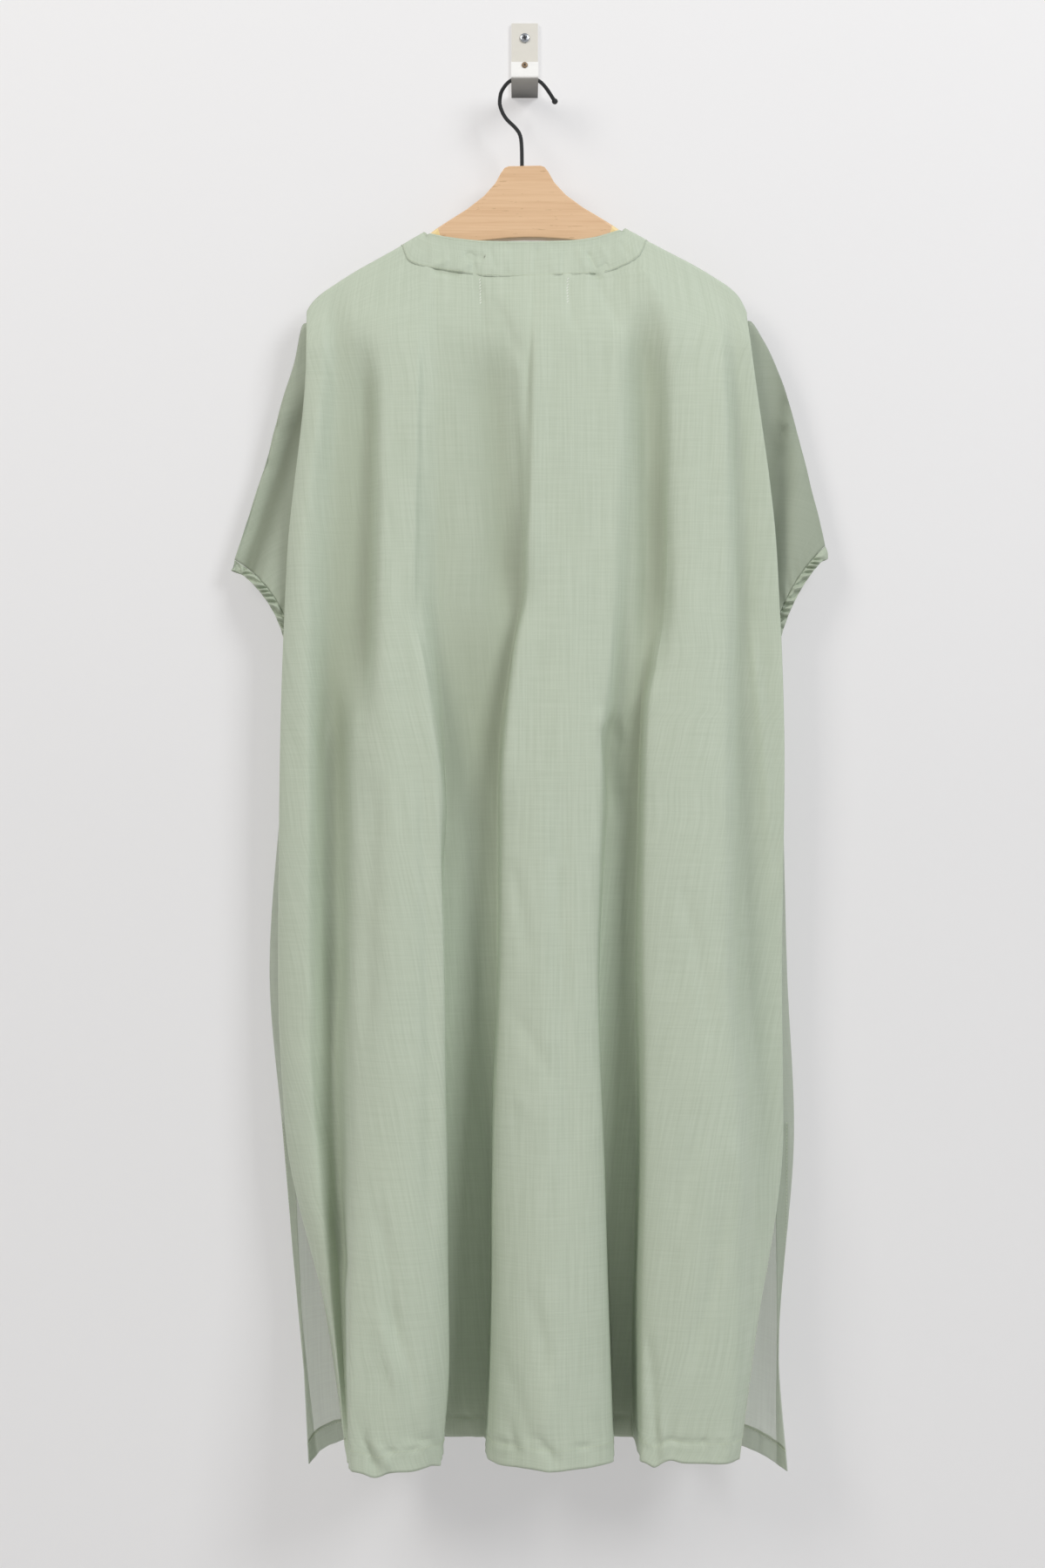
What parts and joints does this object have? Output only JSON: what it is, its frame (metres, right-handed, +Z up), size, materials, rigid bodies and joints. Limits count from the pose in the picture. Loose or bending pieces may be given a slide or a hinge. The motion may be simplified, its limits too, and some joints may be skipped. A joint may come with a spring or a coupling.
{
  "type": "short-sleeved dress with side slits, on a wooden hanger and wall bracket",
  "caption": "Wide dress with side slits and short gathered sleeves, hanging by its shoulders on a flat wooden hanger from a bent bar on a wall.",
  "frame": {"origin": "on the wall plane, behind the bar's upper screw, where the bar is screwed to the wall", "axes": "+Z up, +Y into the wall, so the room is on the -Y side; +X to the right as seen from the room"},
  "size_m": [0.5772, 0.1477, 1.3763],
  "materials": {
    "sage_cloth": "light plain-weave cloth in pale sage green, slightly sheer in one layer, with a soft sheen",
    "sage_cloth_band": "the same cloth, doubled and topstitched",
    "pale_beech": "pale beech with a thin satin lacquer",
    "black_wire": "black satin coating on wire",
    "bare_aluminium": "bare flat bar, lightly brushed",
    "zinc_screw": "bright zinc-plated head",
    "brown_screw": "dull brown head"
  },
  "bodies": {
    "root": {"dress_back": "sage_cloth", "dress_front_upper": "sage_cloth", "dress_front_middle": "sage_cloth", "dress_front_lower": "sage_cloth", "sleeve_left": "sage_cloth", "sleeve_right": "sage_cloth", "cuff_left": "sage_cloth_band", "cuff_right": "sage_cloth_band", "neck_facing_back": "sage_cloth_band", "neck_facing_front": "sage_cloth_band", "hanger_wood": "pale_beech", "hanger_hook": "black_wire", "wall_bracket": "bare_aluminium", "bracket_screw_upper": "zinc_screw", "bracket_screw_lower": "brown_screw"}
  },
  "joints": []
}
